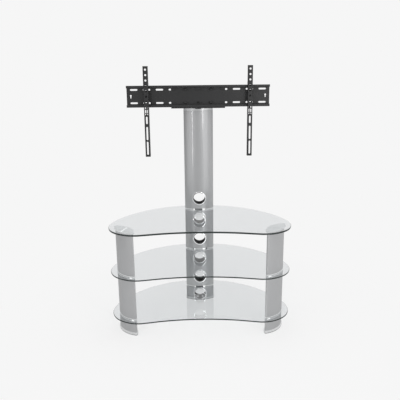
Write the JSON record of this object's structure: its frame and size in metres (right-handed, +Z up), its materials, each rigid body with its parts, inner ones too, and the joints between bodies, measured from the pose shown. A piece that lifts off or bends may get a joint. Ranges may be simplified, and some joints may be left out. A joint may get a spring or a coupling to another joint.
{
  "type": "tv stand",
  "caption": "Free-standing TV stand: kidney-shaped glass shelves on an oval metal column and two oval front legs, with a slotted plate and two sliding arms for a flat screen.",
  "frame": {"origin": "on the floor, midway across the shelves and midway through their depth", "axes": "+X to the viewer's right, +Y to the rear where the column stands, +Z up"},
  "size_m": [0.8512, 0.482, 1.23],
  "materials": {
    "clear_glass": "clear toughened glass, polished edges",
    "silver_aluminium": "satin silver",
    "silver_plastic": "satin silver",
    "bright_chrome": "polished",
    "black_steel": "satin black powder coat",
    "zinc_steel": "zinc plated"
  },
  "bodies": {
    "stand": {"glass_top_shelf": "clear_glass", "glass_middle_shelf": "clear_glass", "glass_bottom_shelf": "clear_glass", "column_head": "silver_aluminium", "column_mast": "silver_aluminium", "column_mast_bottom_cap": "silver_plastic", "column_upper_section": "silver_aluminium", "column_upper_top_cap": "silver_plastic", "column_upper_bottom_cap": "silver_plastic", "column_lower_section": "silver_aluminium", "column_lower_top_cap": "silver_plastic", "column_lower_bottom_cap": "silver_plastic", "column_foot_section": "silver_aluminium", "column_foot_top_plate": "zinc_steel", "column_foot_cap": "silver_plastic", "column_tie_rod_left": "zinc_steel", "column_tie_rod_right": "zinc_steel", "cable_ring_1": "bright_chrome", "cable_ring_2": "bright_chrome", "cable_ring_3": "bright_chrome", "cable_ring_4": "bright_chrome", "cable_ring_5": "bright_chrome", "cable_ring_6": "bright_chrome", "adapter_plate": "black_steel", "adapter_screw_upper": "zinc_steel", "adapter_screw_lower": "zinc_steel", "mounting_plate": "black_steel", "plate_bolt_upper_left": "black_steel", "plate_bolt_upper_right": "black_steel", "plate_bolt_lower_left": "black_steel", "plate_bolt_lower_right": "black_steel", "left_leg_crown": "silver_plastic", "left_leg_upper_section": "silver_aluminium", "left_leg_upper_bottom_cap": "silver_plastic", "left_leg_lower_top_cap": "silver_plastic", "left_leg_lower_section": "silver_aluminium", "left_leg_lower_bottom_cap": "silver_plastic", "left_leg_foot_top_cap": "silver_plastic", "left_leg_foot_section": "silver_aluminium", "left_leg_foot_cap": "silver_plastic", "left_leg_tie_rod": "zinc_steel", "right_leg_crown": "silver_plastic", "right_leg_upper_section": "silver_aluminium", "right_leg_upper_bottom_cap": "silver_plastic", "right_leg_lower_top_cap": "silver_plastic", "right_leg_lower_section": "silver_aluminium", "right_leg_lower_bottom_cap": "silver_plastic", "right_leg_foot_top_cap": "silver_plastic", "right_leg_foot_section": "silver_aluminium", "right_leg_foot_cap": "silver_plastic", "right_leg_tie_rod": "zinc_steel"},
    "left_arm": {"arm_left": "black_steel", "catch_spring_left": "zinc_steel"},
    "right_arm": {"arm_right": "black_steel", "catch_spring_right": "zinc_steel"},
    "left_catch": {"catch_left": "black_steel"},
    "right_catch": {"catch_right": "black_steel"}
  },
  "joints": [
    {"name": "left_arm_slide", "type": "slide", "parent": "stand", "child": "left_arm", "axis": [1, 0, 0], "range_m": [-0.084, 0.199]},
    {"name": "right_arm_slide", "type": "slide", "parent": "stand", "child": "right_arm", "axis": [1, 0, 0], "range_m": [-0.199, 0.084]},
    {"name": "left_catch_slide", "type": "slide", "parent": "left_arm", "child": "left_catch", "axis": [0, 0, 1], "range_m": [-0.009, 0], "stiffness_N_per_m": 600, "springref_m": 0.004, "deforming": ["catch_spring_left"]},
    {"name": "right_catch_slide", "type": "slide", "parent": "right_arm", "child": "right_catch", "axis": [0, 0, 1], "range_m": [-0.009, 0], "stiffness_N_per_m": 600, "springref_m": 0.004, "deforming": ["catch_spring_right"]}
  ]
}
